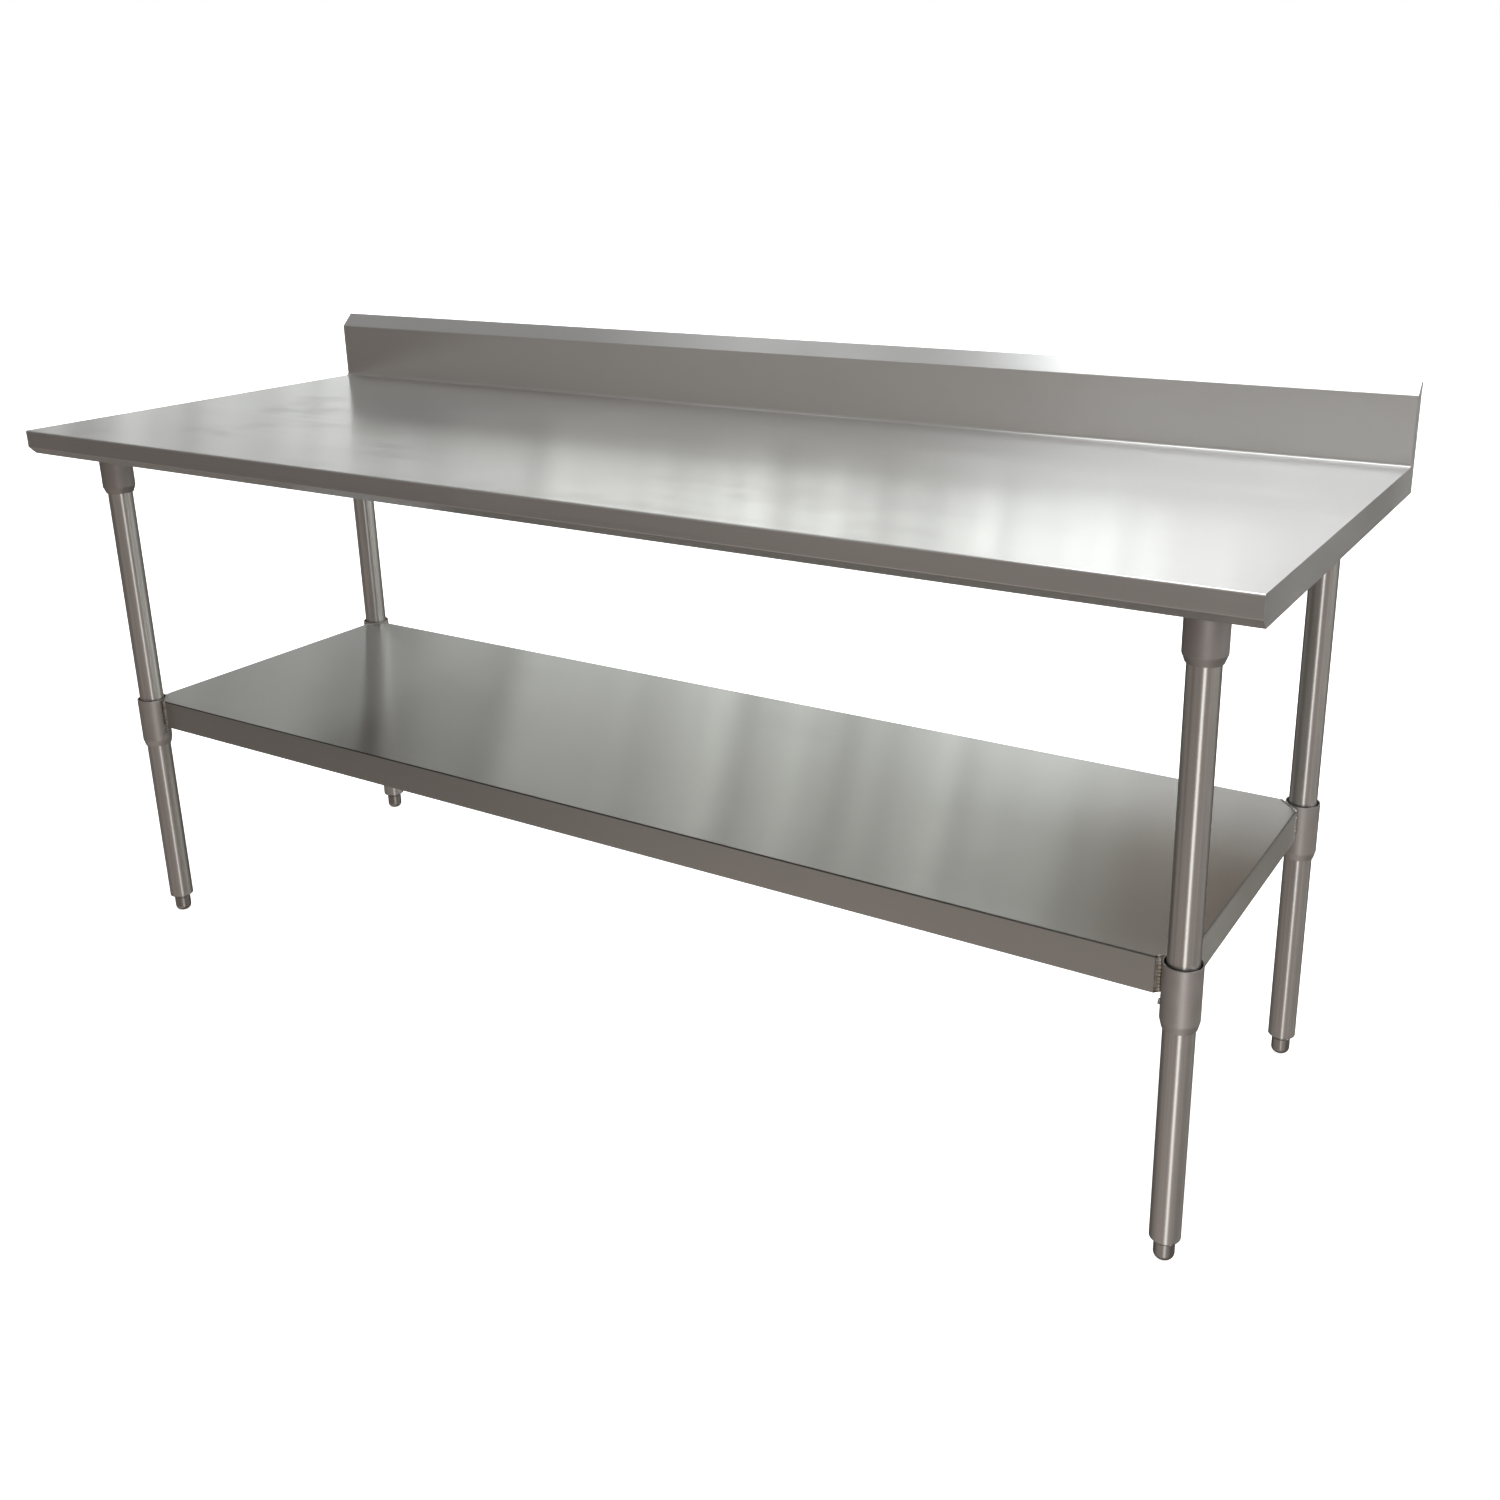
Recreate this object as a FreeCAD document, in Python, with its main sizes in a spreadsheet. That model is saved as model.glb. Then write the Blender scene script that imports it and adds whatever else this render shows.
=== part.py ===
import FreeCAD, Part
import os
import re
import Sketcher

# Stainless work table: a folded steel top with a rear riser, carried on hat channels and four
# socketed tube legs, with a height-adjustable undershelf and screw feet.
# Millimetres. +X runs along the table to the right, +Y to the rear and +Z up. The origin is on the
# floor, under the centre of the table's outline.

DIMENSIONS = {
    "table_length": 2133.6,
    "table_depth": 762.0,
    "deck_height": 939.8,
    "deck_gauge": 1.5,
    "edge_face": 28.6,
    "edge_slope": 12.7,
    "edge_hem": 9.0,
    "edge_round": 2.5,
    "riser_height": 101.6,
    "riser_return": 25.4,
    "riser_flange": 19.0,
    "cove_round": 6.0,
    "cap_tab": 15.0,
    "label_length": 85.0,
    "label_width": 13.0,
    "label_gauge": 0.3,
    "label_inset": 16.0,
    "channel_depth": 25.4,
    "channel_web": 70.0,
    "channel_flange": 19.0,
    "channel_gauge": 2.0,
    "cross_front": 345.0,
    "cross_rear": 340.0,
    "centre_gap": 6.0,
    "stud_diameter": 6.0,
    "stud_hole": 7.0,
    "stud_length": 14.0,
    "nut_across": 10.0,
    "nut_height": 5.0,
    "nut_bore": 6.1,
    "leg_diameter": 41.3,
    "leg_wall": 1.5,
    "leg_inset_ends": 88.9,
    "leg_inset_sides": 101.6,
    "leg_bottom": 35.0,
    "leg_top_gap": 8.0,
    "socket_diameter": 54.0,
    "socket_wall": 2.0,
    "socket_length": 91.0,
    "socket_clearance": 0.15,
    "collar_diameter": 50.8,
    "collar_wall": 1.65,
    "collar_length": 88.9,
    "collar_rise": 2.0,
    "collar_clearance": 0.35,
    "swage_length": 11.0,
    "screw_diameter": 8.0,
    "screw_hole": 8.2,
    "screw_proud": 3.0,
    "screw_drop": 13.0,
    "collar_screw_drop": 62.0,
    "recess_across": 4.0,
    "recess_depth": 3.5,
    "shelf_height": 431.8,
    "shelf_edge": 50.8,
    "shelf_gauge": 1.2,
    "shelf_hem": 12.7,
    "shelf_round": 2.0,
    "shelf_channel_gap": 40.0,
    "insert_plug": 44.0,
    "insert_nose": 4.0,
    "insert_nose_diameter": 30.0,
    "insert_bore": 12.84,
    "foot_gap": 0.5,
    "foot_diameter": 28.0,
    "foot_neck": 26.0,
    "foot_neck_length": 3.0,
    "foot_dome": 10.0,
    "stem_diameter": 12.7,
    "stem_hole": 12.8,
    "stem_sink": 12.0,
    "stem_length": 57.0,
}

SIDES = {"left": "-1", "right": "1"}
ENDS = {"front": "-1", "rear": "1"}
LEG_X = "(table_length / 2 - leg_inset_ends)"
LEG_Y = "(table_depth / 2 - leg_inset_sides)"
DECK_UNDER = "(deck_height - deck_gauge)"
CHANNEL_UNDER = "(deck_height - deck_gauge - channel_depth)"
SHELF_BASE = "(shelf_height - shelf_edge)"
COLLAR_TOP = "(shelf_height + collar_rise)"
RISER_FACE = "(table_depth / 2 - riser_return)"
RISER_BREAK = "(deck_height + riser_height)"
RISER_TOP = "(deck_height + riser_height + riser_return)"
EDGE_BOTTOM = "(deck_height - edge_face - edge_slope)"
NOSE_BOTTOM = "(leg_bottom - insert_nose)"
FOOT_TOP = "(leg_bottom - insert_nose - foot_gap)"
STUD_ROW = "((channel_web + channel_flange) / 2)"
CROSS_STUDS = ("-290", "0", "290")
CENTRE_STUDS = ("-800", "-400", "0", "400", "800")
WHOLE_TURN = 360.0
TOLERANCE = 1e-3


def bound(text):
    """An expression in which each driving dimension is named with its sheet."""
    return re.sub(r"[a-z][a-z_]*", lambda word: "dims." + word[0] if word[0] in DIMENSIONS else word[0], text)


def value(text):
    """The number that an expression on the driving dimensions gives."""
    result = DOC.getObject("dims").evalExpression(bound(text))
    return float(getattr(result, "Value", result))


def make_sheet():
    sheet = DOC.addObject("Spreadsheet::Sheet", "dims")
    for row, (alias, size) in enumerate(DIMENSIONS.items(), start=1):
        sheet.set(f"A{row}", alias.replace("_", " "))
        sheet.set(f"B{row}", str(size))
        sheet.setAlias(f"B{row}", alias)
    DOC.recompute()


def place(item, across="0", along="0", up="0"):
    """Bind an object's position to the sheet."""
    for axis, text in zip("xyz", (across, along, up)):
        item.setExpression(f"Placement.Base.{axis}", bound(text))


def new_body(label, across="0", along="0", up="0"):
    body = DOC.addObject("PartDesign::Body", label)
    body.Label = label
    place(body, across, along, up)
    return body


def origin_plane(body, role):
    return next(item for item in body.Origin.OriginFeatures if item.Role == role)


def new_sketch(body, name, role, offset="0"):
    """A sketch on one of its body's origin planes, moved along the plane's normal."""
    sketch = body.newObject("Sketcher::SketchObject", name)
    sketch.AttachmentSupport = [(origin_plane(body, role), "")]
    sketch.MapMode = "FlatFace"
    sketch.setExpression("AttachmentOffset.Base.z", bound(offset))
    return sketch


def bind_point(sketch, name, geometry, vertex, corner):
    """Hold a point of a sketch at bound distances from the sketch's origin."""
    for kind, text in zip(("DistanceX", "DistanceY"), corner):
        index = sketch.addConstraint(Sketcher.Constraint(kind, -1, 1, geometry, vertex, value(text)))
        sketch.renameConstraint(index, f"{name}_{kind}")
        sketch.setExpression(f"Constraints.{name}_{kind}", bound(text))


def draw_polygon(sketch, corners):
    """A closed outline of straight runs through bound corners."""
    first = sketch.GeometryCount
    points = [FreeCAD.Vector(value(x), value(y), 0) for x, y in corners]
    for start, end in zip(points, points[1:] + points[:1]):
        sketch.addGeometry(Part.LineSegment(start, end))
    for index, corner in enumerate(corners):
        following = first + (index + 1) % len(corners)
        sketch.addConstraint(Sketcher.Constraint("Coincident", first + index, 2, following, 1))
        bind_point(sketch, f"corner{first + index}", first + index, 1, corner)


def draw_circle(sketch, corner, diameter):
    """A circle with a bound centre and diameter."""
    centre = FreeCAD.Vector(value(corner[0]), value(corner[1]), 0)
    index = sketch.addGeometry(Part.Circle(centre, FreeCAD.Vector(0, 0, 1), value(diameter) / 2))
    size = sketch.addConstraint(Sketcher.Constraint("Diameter", index, value(diameter)))
    sketch.renameConstraint(size, f"diameter{index}")
    sketch.setExpression(f"Constraints.diameter{index}", bound(diameter))
    bind_point(sketch, f"centre{index}", index, 3, corner)


def pad(body, sketch, length, both_ways=False):
    feature = body.newObject("PartDesign::Pad", "Pad")
    feature.Profile = sketch
    feature.setExpression("Length", bound(length))
    feature.Midplane = both_ways
    DOC.recompute()
    return feature


def pocket(body, sketch, length, along_normal=False):
    """Cut a sketch into the body, and make sure that material went."""
    before = body.Shape.Volume
    feature = body.newObject("PartDesign::Pocket", "Pocket")
    feature.Profile = sketch
    feature.setExpression("Length", bound(length))
    feature.Reversed = along_normal
    DOC.recompute()
    if feature.Shape.Volume > before - TOLERANCE:
        raise RuntimeError(f"{body.Label}: a pocket cut nothing")
    return feature


def revolve(body, sketch):
    feature = body.newObject("PartDesign::Revolution", "Revolution")
    feature.Profile = sketch
    feature.ReferenceAxis = (sketch, ["V_Axis"])
    feature.Angle = WHOLE_TURN
    DOC.recompute()
    return feature


def round_edges(body, radius, wanted):
    """Round the tip's edges for which wanted(edge) is true."""
    base = body.Tip
    names = [f"Edge{number}" for number, edge in enumerate(base.Shape.Edges, 1) if wanted(edge)]
    if not names:
        raise RuntimeError(f"{body.Label}: no edge to round")
    feature = body.newObject("PartDesign::Fillet", "Fillet")
    feature.Base = (base, names)
    feature.setExpression("Radius", bound(radius))
    DOC.recompute()
    return feature


def near(first, second):
    return abs(first - second) < TOLERANCE


def along_line(edge, axis, **held):
    """Whether a straight edge runs along an axis at the held coordinates."""
    if not isinstance(edge.Curve, Part.Line) or not near(abs(getattr(edge.Curve.Direction, axis)), 1):
        return False
    start = edge.Vertexes[0].Point
    return all(near(getattr(start, name), place_value) for name, place_value in held.items())


def make_work_top():
    """One sheet: sloped front lip, front face, deck, riser, slanted top and rear flange, with side drops."""
    front = "(-table_depth / 2)"
    lip_end = (f"{front} + edge_slope", EDGE_BOTTOM)
    diagonal = "* sqrt(0.5)"
    body = new_body("work_top")
    section = new_sketch(body, "top_section", "YZ_Plane")
    draw_polygon(section, [
        lip_end,
        (front, "deck_height - edge_face"),
        (front, "deck_height"),
        (RISER_FACE, "deck_height"),
        (RISER_FACE, RISER_BREAK),
        ("table_depth / 2", RISER_TOP),
        ("table_depth / 2", f"{RISER_TOP} - riser_flange"),
        ("table_depth / 2 - deck_gauge", f"{RISER_TOP} - riser_flange"),
        ("table_depth / 2 - deck_gauge", f"{RISER_TOP} - deck_gauge * tan(67.5)"),
        (f"{RISER_FACE} + deck_gauge", f"{RISER_BREAK} - deck_gauge * tan(22.5)"),
        (f"{RISER_FACE} + deck_gauge", DECK_UNDER),
        (f"{front} + deck_gauge", DECK_UNDER),
        (f"{front} + deck_gauge", "deck_height - edge_face + deck_gauge * tan(22.5)"),
        (f"{lip_end[0]} + (deck_gauge - edge_hem) {diagonal}",
         f"{EDGE_BOTTOM} + (deck_gauge + edge_hem) {diagonal}"),
        (f"{lip_end[0]} + (2 * deck_gauge - edge_hem) {diagonal}",
         f"{EDGE_BOTTOM} + (2 * deck_gauge + edge_hem) {diagonal}"),
        (f"{lip_end[0]} + 2 * deck_gauge {diagonal}", f"{EDGE_BOTTOM} + 2 * deck_gauge {diagonal}"),
    ])
    pad(body, section, "table_length", both_ways=True)
    drop = new_sketch(body, "side_drop", "YZ_Plane", "table_length / 2 - deck_gauge")
    draw_polygon(drop, [
        lip_end,
        (front, "deck_height - edge_face"),
        (front, "deck_height"),
        (f"{RISER_FACE} + deck_gauge", "deck_height"),
        (f"{RISER_FACE} + deck_gauge", EDGE_BOTTOM),
    ])
    right_drop = pad(body, drop, "deck_gauge")
    mirror = body.newObject("PartDesign::Mirrored", "left_drop")
    mirror.Originals = [right_drop]
    mirror.MirrorPlane = (origin_plane(body, "YZ_Plane"), [""])
    body.Tip = mirror
    DOC.recompute()
    deck, back = value("deck_height"), value(RISER_FACE)
    breaks = [(value(front), value("deck_height - edge_face")), (back, value(RISER_BREAK))]
    round_edges(body, "edge_round", lambda edge: any(along_line(edge, "x", y=y, z=z) for y, z in breaks))
    crest = (value("table_depth / 2"), value(RISER_TOP))
    round_edges(body, "deck_gauge", lambda edge: along_line(edge, "x", y=crest[0], z=crest[1]))
    round_edges(body, "cove_round", lambda edge: along_line(edge, "x", y=back, z=deck))
    hidden = (back + value("deck_gauge"), deck - value("deck_gauge"))
    round_edges(body, "cove_round + deck_gauge", lambda edge: along_line(edge, "x", y=hidden[0], z=hidden[1]))
    round_edges(body, "edge_round", lambda edge: along_line(edge, "x", y=value(front), z=deck))
    return body


def make_end_cap(side):
    """Plate that closes the riser's hollow at one end, with a tab turned in along its rear."""
    sign = SIDES[side]
    body = new_body(f"riser_end_cap_{side}", f"{sign} * (table_length / 2 - deck_gauge / 2)")
    front, rear = f"{RISER_FACE} + deck_gauge", "table_depth / 2 - deck_gauge"
    plate = new_sketch(body, "cap_outline", "YZ_Plane")
    draw_polygon(plate, [
        (front, EDGE_BOTTOM),
        (rear, EDGE_BOTTOM),
        (rear, f"{RISER_TOP} - deck_gauge * tan(67.5)"),
        (front, f"{RISER_BREAK} - deck_gauge * tan(22.5)"),
    ])
    pad(body, plate, "deck_gauge", both_ways=True)
    tab = new_sketch(body, "tab_outline", "XY_Plane", EDGE_BOTTOM)
    inner, outer = f"{sign} * (0 - deck_gauge / 2)", f"{sign} * (0 - cap_tab)"
    draw_polygon(tab, [
        (inner, f"{rear} - deck_gauge"),
        (inner, rear),
        (outer, rear),
        (outer, f"{rear} - deck_gauge"),
    ])
    pad(body, tab, f"{RISER_TOP} - riser_flange - {EDGE_BOTTOM}")
    return body


def make_label():
    """Blank sticker near the right end of the riser's slanted top."""
    label = DOC.addObject("Part::Box", "blank_label")
    label.Label = "blank_label"
    for name, text in (("Length", "label_length"), ("Width", "label_width"), ("Height", "label_gauge")):
        label.setExpression(name, bound(text))
    slant_start = "(riser_return * sqrt(2) - label_width) / 2 * sqrt(0.5)"
    label.Placement.Rotation = FreeCAD.Rotation(FreeCAD.Vector(1, 0, 0), 45)
    place(label, "table_length / 2 - label_inset - label_length",
          f"{RISER_FACE} + {slant_start}", f"{RISER_BREAK} + {slant_start}")
    return label


def hat_corners(top):
    """Outline of a hat channel that hangs from top, its web below and its flanges out at the top."""
    half, brim = "channel_web / 2", "channel_web / 2 + channel_flange"
    right = [
        (f"{half} - channel_gauge", f"{top} - channel_depth + channel_gauge"),
        (f"{half} - channel_gauge", top),
        (brim, top),
        (brim, f"{top} - channel_gauge"),
        (half, f"{top} - channel_gauge"),
        (half, f"{top} - channel_depth"),
    ]
    return right + [(f"0 - ({x})", y) for x, y in reversed(right)]


def cut_stud_holes(body, places):
    holes = new_sketch(body, "stud_holes", "XY_Plane", DECK_UNDER)
    for corner in places:
        draw_circle(holes, corner, "stud_hole")
    pocket(body, holes, "channel_gauge + 1")


def cross_stud_places():
    """Stud places in a cross channel's own frame."""
    return [(f"{sign} * {STUD_ROW}", place_text) for sign in ("-1", "1") for place_text in CROSS_STUDS]


def centre_stud_places():
    return [(place_text, f"{sign} * {STUD_ROW}") for sign in ("-1", "1") for place_text in CENTRE_STUDS]


def make_cross_channel(side):
    """Hat channel from front to rear under one end of the deck, which carries two sockets."""
    body = new_body(f"cross_channel_{side}", f"{SIDES[side]} * {LEG_X}")
    section = new_sketch(body, "hat_section", "XZ_Plane", "0 - cross_rear")
    draw_polygon(section, hat_corners(DECK_UNDER))
    pad(body, section, "cross_front + cross_rear")
    cut_stud_holes(body, cross_stud_places())
    return body


def make_centre_channel():
    """Hat channel along the middle of the deck, between the cross channels."""
    reach = f"({LEG_X} - channel_web / 2 - channel_flange - centre_gap)"
    body = new_body("centre_channel")
    section = new_sketch(body, "hat_section", "YZ_Plane")
    draw_polygon(section, hat_corners(DECK_UNDER))
    pad(body, section, f"2 * {reach}", both_ways=True)
    cut_stud_holes(body, centre_stud_places())
    return body


def stud_places():
    """Every welded stud, in the table's frame."""
    places = centre_stud_places()
    for sign in SIDES.values():
        places += [(f"{sign} * {LEG_X} + {x}", y) for x, y in cross_stud_places()]
    return places


def make_group(label, members):
    """One node of several separate solids."""
    group = DOC.addObject("Part::Compound", label)
    group.Label = label
    group.Links = members
    return group


def make_cylinder(diameter, length):
    cylinder = DOC.addObject("Part::Cylinder", "Cylinder")
    cylinder.setExpression("Radius", bound(f"{diameter} / 2"))
    cylinder.setExpression("Height", bound(length))
    return cylinder


def make_hexagon(across, length):
    prism = DOC.addObject("Part::Prism", "Prism")
    prism.Polygon = 6
    prism.setExpression("Circumradius", bound(f"{across} / sqrt(3)"))
    prism.setExpression("Height", bound(length))
    return prism


def cut_away(base, tool):
    cut = DOC.addObject("Part::Cut", "Cut")
    cut.Base = base
    cut.Tool = tool
    return cut


def make_studs():
    studs = []
    for x, y in stud_places():
        stud = make_cylinder("stud_diameter", "stud_length")
        place(stud, x, y, f"{DECK_UNDER} - stud_length")
        studs.append(stud)
    return make_group("channel_studs", studs)


def make_nuts():
    nuts = []
    for x, y in stud_places():
        nut = cut_away(make_hexagon("nut_across", "nut_height"), make_cylinder("nut_bore", "nut_height"))
        place(nut, x, y, f"{DECK_UNDER} - channel_gauge - nut_height")
        nuts.append(nut)
    return make_group("channel_nuts", nuts)


def make_sleeve(label, corner, size, end, side, screw_height):
    """Tube round a leg, swaged in at its lower end, with one tapped hole on its inboard side."""
    diameter, wall, length, clearance = size
    top, bottom = end, f"({end} - {length})"
    mouth = f"(leg_diameter / 2 + {clearance})"
    body = new_body(label, *corner)
    section = new_sketch(body, "sleeve_section", "XZ_Plane")
    draw_polygon(section, [
        (f"{diameter} / 2", top),
        (f"{diameter} / 2", f"{bottom} + swage_length"),
        (f"{mouth} + {wall}", bottom),
        (mouth, bottom),
        (f"{diameter} / 2 - {wall}", f"{bottom} + swage_length"),
        (f"{diameter} / 2 - {wall}", top),
    ])
    revolve(body, section)
    shoulder = value(f"{bottom} + swage_length")
    outside = value(f"{diameter} / 2")
    round_edges(body, "swage_length / 2", lambda edge: near(edge.BoundBox.ZMin, shoulder)
                and near(edge.BoundBox.ZMax, shoulder) and near(edge.BoundBox.XMax, outside))
    hole = new_sketch(body, "screw_hole", "YZ_Plane")
    draw_circle(hole, ("0", screw_height), "screw_hole")
    pocket(body, hole, f"{diameter} / 2 + 1", along_normal=side == "left")
    return body


def leg_corner(end, side):
    return f"{SIDES[side]} * {LEG_X}", f"{ENDS[end]} * {LEG_Y}"


def corners():
    return [(end, side) for end in ENDS for side in SIDES]


TOP_SOCKET = ("socket_diameter", "socket_wall", "socket_length", "socket_clearance")
SHELF_COLLAR = ("collar_diameter", "collar_wall", "collar_length", "collar_clearance")


def make_set_screws(label, size, clearance, height):
    """Four set screws, each from proud of its sleeve to a tip beside the leg."""
    screws = []
    for end, side in corners():
        x, y = leg_corner(end, side)
        proud = f"({size[0]} / 2 + screw_proud)"
        length = f"({proud} - leg_diameter / 2 - {clearance})"
        recess = make_hexagon("recess_across", "recess_depth")
        place(recess, up=f"{length} - recess_depth")
        screw = cut_away(make_cylinder("screw_diameter", length), recess)
        turn = -90 if side == "right" else 90
        screw.Placement.Rotation = FreeCAD.Rotation(FreeCAD.Vector(0, 1, 0), turn)
        place(screw, f"{x} - {SIDES[side]} * (leg_diameter / 2 + {clearance})", y, height)
        screws.append(screw)
    return make_group(label, screws)


def make_leg(end, side):
    body = new_body(f"leg_{end}_{side}", *leg_corner(end, side))
    section = new_sketch(body, "tube_section", "XY_Plane", "leg_bottom")
    draw_circle(section, ("0", "0"), "leg_diameter")
    draw_circle(section, ("0", "0"), "leg_diameter - 2 * leg_wall")
    pad(body, section, f"{CHANNEL_UNDER} - leg_top_gap - leg_bottom")
    return body


def make_foot_insert(end, side):
    """Threaded plug pressed into the leg, with a tapered nose below the tube's rim."""
    body = new_body(f"foot_insert_{end}_{side}", *leg_corner(end, side))
    section = new_sketch(body, "insert_section", "XZ_Plane")
    draw_polygon(section, [
        ("insert_bore / 2", NOSE_BOTTOM),
        ("insert_nose_diameter / 2", NOSE_BOTTOM),
        ("leg_diameter / 2", "leg_bottom - 1"),
        ("leg_diameter / 2", "leg_bottom"),
        ("leg_diameter / 2 - leg_wall", "leg_bottom"),
        ("leg_diameter / 2 - leg_wall", "leg_bottom + insert_plug"),
        ("insert_bore / 2", "leg_bottom + insert_plug"),
    ])
    revolve(body, section)
    return body


def make_foot(end, side):
    """Bullet foot: a domed body with a flat tip, and a neck with a socket for its stem."""
    body = new_body(f"foot_{end}_{side}", *leg_corner(end, side))
    section = new_sketch(body, "foot_section", "XZ_Plane")
    draw_polygon(section, [
        ("0", "0"),
        ("foot_diameter / 2", "0"),
        ("foot_diameter / 2", f"{FOOT_TOP} - foot_neck_length"),
        ("foot_neck / 2", f"{FOOT_TOP} - foot_neck_length + 1"),
        ("foot_neck / 2", FOOT_TOP),
        ("stem_hole / 2", FOOT_TOP),
        ("stem_hole / 2", f"{FOOT_TOP} - stem_sink"),
        ("0", f"{FOOT_TOP} - stem_sink"),
    ])
    revolve(body, section)
    round_edges(body, "foot_dome", lambda edge: near(edge.BoundBox.ZMax, 0)
                and near(edge.BoundBox.XMax, value("foot_diameter / 2")))
    return body


def make_foot_stem(end, side):
    body = new_body(f"foot_stem_{end}_{side}", *leg_corner(end, side))
    section = new_sketch(body, "stem_section", "XY_Plane", f"{FOOT_TOP} - stem_sink")
    draw_circle(section, ("0", "0"), "stem_diameter")
    pad(body, section, "stem_length")
    return body


def shelf_corners(inset, cut_extra):
    """Outline of the shelf, its corners cut across beside the legs, drawn in by inset."""
    cut = f"(collar_diameter / 2 * sqrt(2) + {cut_extra})"
    right, rear = f"({LEG_X} - {inset})", f"({LEG_Y} - {inset})"
    near_x, near_y = f"({LEG_X} - {cut})", f"({LEG_Y} - {cut})"
    outline = []
    for sign_x, sign_y in (("1", "1"), ("-1", "1"), ("-1", "-1"), ("1", "-1")):
        pair = [
            (f"{sign_x} * {right}", f"{sign_y} * {near_y}"),
            (f"{sign_x} * {near_x}", f"{sign_y} * {rear}"),
        ]
        outline += pair if sign_x == sign_y else pair[::-1]
    return outline


def make_under_shelf():
    """Shelf folded down on all sides, with a hem turned in round the bottom of its edge."""
    body = new_body("under_shelf")
    outline = new_sketch(body, "shelf_outline", "XY_Plane", SHELF_BASE)
    draw_polygon(outline, shelf_corners("0", "0"))
    pad(body, outline, "shelf_edge")
    round_edges(body, "shelf_round", lambda edge: near(edge.BoundBox.ZMin, value("shelf_height")))
    mouth = new_sketch(body, "hem_mouth", "XY_Plane", SHELF_BASE)
    draw_polygon(mouth, shelf_corners("shelf_hem", "shelf_hem * tan(22.5)"))
    pocket(body, mouth, "shelf_gauge", along_normal=True)
    hollow = new_sketch(body, "pan_hollow", "XY_Plane", f"{SHELF_BASE} + shelf_gauge")
    draw_polygon(hollow, shelf_corners("shelf_gauge", "shelf_gauge * tan(22.5)"))
    pocket(body, hollow, "shelf_edge - 2 * shelf_gauge", along_normal=True)
    return body


def make_shelf_channel():
    """Hat channel welded along the middle of the shelf's underside."""
    body = new_body("shelf_channel")
    section = new_sketch(body, "hat_section", "YZ_Plane")
    draw_polygon(section, hat_corners("(shelf_height - shelf_gauge)"))
    pad(body, section, f"2 * ({LEG_X} - shelf_channel_gap)", both_ways=True)
    return body


def make_table():
    """Every sub-part, in the order of assembly."""
    parts = [make_work_top(), make_label(), make_centre_channel(), make_studs(), make_nuts()]
    parts += [make_end_cap(side) for side in SIDES]
    parts += [make_cross_channel(side) for side in SIDES]
    parts += [make_under_shelf(), make_shelf_channel()]
    socket_screw_height = f"{CHANNEL_UNDER} - screw_drop"
    collar_screw_height = f"{COLLAR_TOP} - collar_screw_drop"
    for end, side in corners():
        corner = leg_corner(end, side)
        socket = f"top_socket_{end}_{side}"
        collar = f"shelf_socket_{end}_{side}"
        parts.append(make_sleeve(socket, corner, TOP_SOCKET, CHANNEL_UNDER, side, socket_screw_height))
        parts.append(make_sleeve(collar, corner, SHELF_COLLAR, COLLAR_TOP, side, collar_screw_height))
        parts += [make_leg(end, side), make_foot_insert(end, side)]
        parts += [make_foot(end, side), make_foot_stem(end, side)]
    parts.append(make_set_screws("top_set_screws", TOP_SOCKET, "0.05", socket_screw_height))
    parts.append(make_set_screws("shelf_set_screws", SHELF_COLLAR, "collar_clearance", collar_screw_height))
    return parts


def check(parts):
    """Stop on any failed object or bad shape before a file is written."""
    for item in DOC.Objects:
        if {"Invalid", "Error"} & set(item.State):
            raise RuntimeError(f"{item.Label}: {item.State}")
    for item in parts:
        if item.Shape.isNull() or not item.Shape.isValid() or not item.Shape.Solids:
            raise RuntimeError(f"{item.Label}: bad shape")


def write(parts):
    os.makedirs("parts", exist_ok=True)
    for item in parts:
        item.Shape.exportStep(f"parts/{item.Label}.step")


DOC = FreeCAD.newDocument("work_table")
make_sheet()
PARTS = make_table()
DOC.recompute()
check(PARTS)
write(PARTS)
print(len(PARTS), "parts written")
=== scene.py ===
import math

import bpy
from bpy.props import FloatProperty, FloatVectorProperty, IntProperty, PointerProperty
from bpy.types import Operator, Panel, PropertyGroup
from mathutils import Euler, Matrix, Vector


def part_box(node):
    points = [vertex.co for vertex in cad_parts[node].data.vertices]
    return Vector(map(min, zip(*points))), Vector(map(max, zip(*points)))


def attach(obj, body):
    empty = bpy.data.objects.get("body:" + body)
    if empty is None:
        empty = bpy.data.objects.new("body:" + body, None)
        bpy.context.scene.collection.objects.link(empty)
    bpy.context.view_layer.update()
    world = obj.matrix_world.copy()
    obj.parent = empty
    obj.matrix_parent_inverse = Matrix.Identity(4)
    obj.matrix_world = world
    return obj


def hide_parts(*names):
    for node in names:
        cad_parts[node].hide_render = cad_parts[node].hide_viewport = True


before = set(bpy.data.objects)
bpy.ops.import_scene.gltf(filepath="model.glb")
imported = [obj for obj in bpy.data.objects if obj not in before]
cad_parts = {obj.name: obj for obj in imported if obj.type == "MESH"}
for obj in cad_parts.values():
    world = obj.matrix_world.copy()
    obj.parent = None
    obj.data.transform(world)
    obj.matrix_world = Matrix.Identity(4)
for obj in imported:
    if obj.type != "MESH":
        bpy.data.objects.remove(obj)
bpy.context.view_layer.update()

bl_info = {
    "name": "Stainless Work Table",
    "version": (1, 0, 0),
    "blender": (4, 5, 0),
    "location": "3D View > Sidebar > Work Table",
    "description": "Finishes, welds, threads and studio for a stainless kitchen work table",
    "category": "Object",
}

ENDS = ("front", "rear")
SIDES = ("left", "right")
CORNERS = [f"{end}_{side}" for end in ENDS for side in SIDES]
WHOLE_TURN = 2 * math.pi
WHITE = (1.0, 1.0, 1.0, 1.0)

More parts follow.
